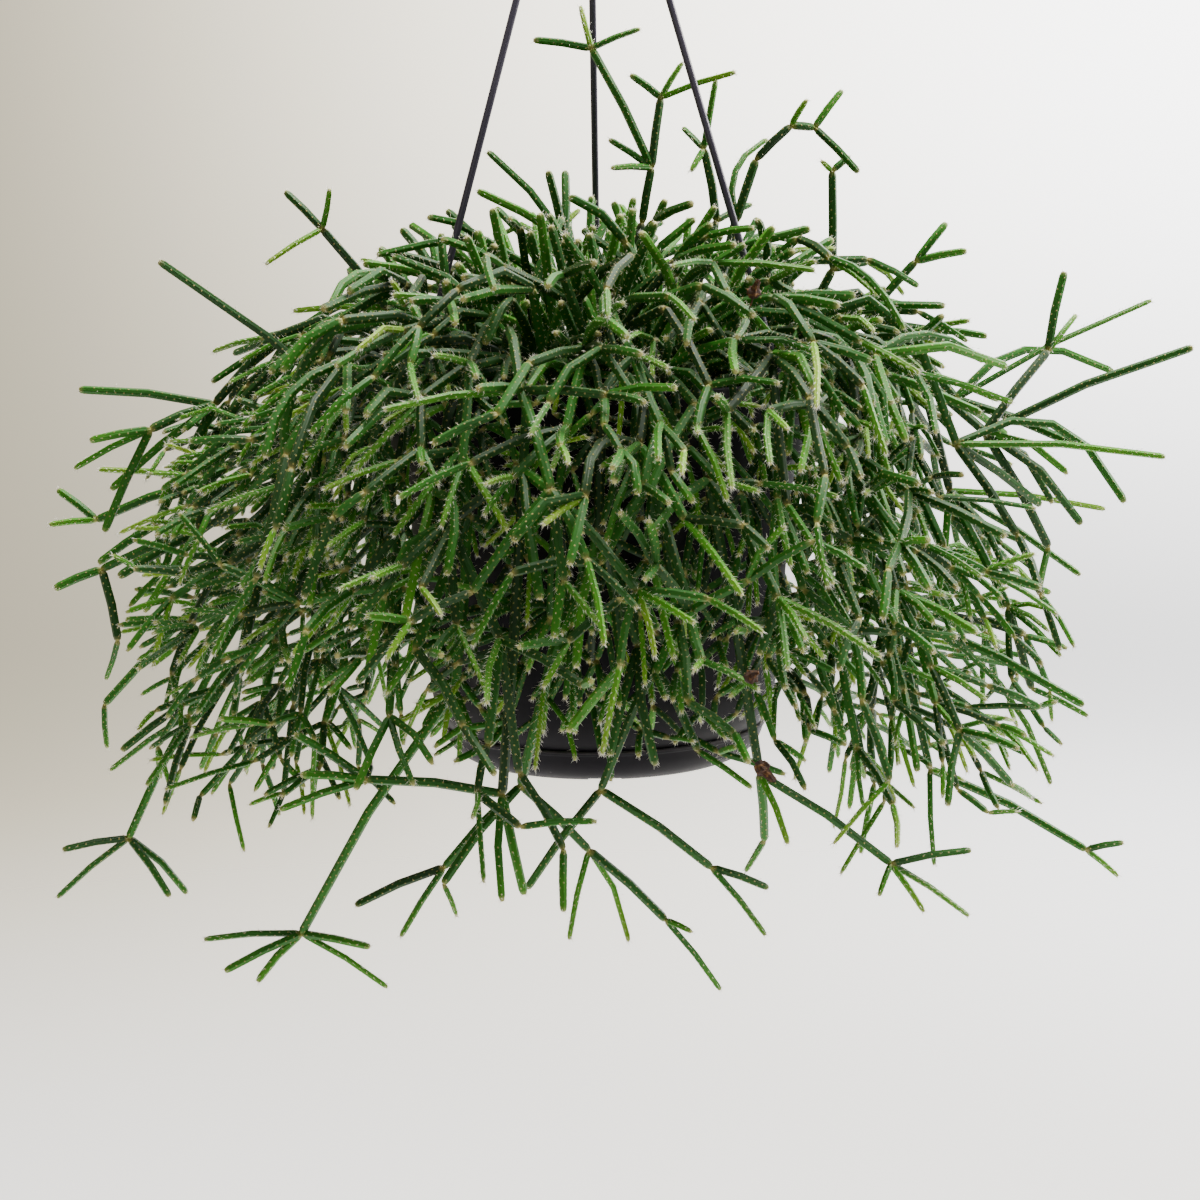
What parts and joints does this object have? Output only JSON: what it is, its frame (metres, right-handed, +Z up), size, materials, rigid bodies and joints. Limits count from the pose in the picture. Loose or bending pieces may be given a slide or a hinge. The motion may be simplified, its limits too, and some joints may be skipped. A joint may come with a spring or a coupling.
{
  "type": "potted hairy-stemmed rhipsalis in a hanging pot",
  "caption": "Leafless branching cactus with thin bristly stems, in a dark plastic hanging pot with a clip-on saucer and a moulded strand hanger with a hook.",
  "frame": {"origin": "top of the hook's inside, where the hanger rests on its peg", "axes": "+Z up along the pot's axis, +X to the right and +Y away from the viewer, with one strand at the back"},
  "size_m": [0.5711, 0.4851, 0.6694],
  "materials": {
    "pot_plastic": "dark charcoal moulded plastic with a dull sheen",
    "strand_plastic": "purple-grey moulded plastic strand",
    "soil": "dark peat crumb",
    "stem": "green ribbed stem skin with pale areoles and white bristles"
  },
  "bodies": {
    "root": {"pot": "pot_plastic", "saucer": "pot_plastic", "soil": "soil", "hanger_hook": "strand_plastic", "hanger_strand_1": "strand_plastic", "hanger_strand_2": "strand_plastic", "hanger_strand_3": "strand_plastic", "spray_01": "stem", "spray_02": "stem", "spray_03": "stem", "spray_04": "stem", "spray_05": "stem", "spray_06": "stem", "spray_07": "stem", "spray_08": "stem", "spray_09": "stem", "spray_10": "stem", "spray_11": "stem", "spray_12": "stem", "spray_13": "stem", "spray_14": "stem", "spray_15": "stem", "spray_16": "stem", "spray_17": "stem", "spray_18": "stem", "spray_19": "stem", "spray_20": "stem", "spray_21": "stem", "spray_22": "stem", "spray_23": "stem", "spray_24": "stem", "spray_25": "stem", "spray_26": "stem", "spray_27": "stem", "spray_28": "stem", "spray_29": "stem", "spray_30": "stem", "spray_31": "stem", "spray_32": "stem", "spray_33": "stem", "spray_34": "stem", "spray_35": "stem", "spray_36": "stem", "spray_37": "stem", "spray_38": "stem", "spray_39": "stem", "spray_40": "stem", "spray_41": "stem", "spray_42": "stem"}
  },
  "joints": []
}
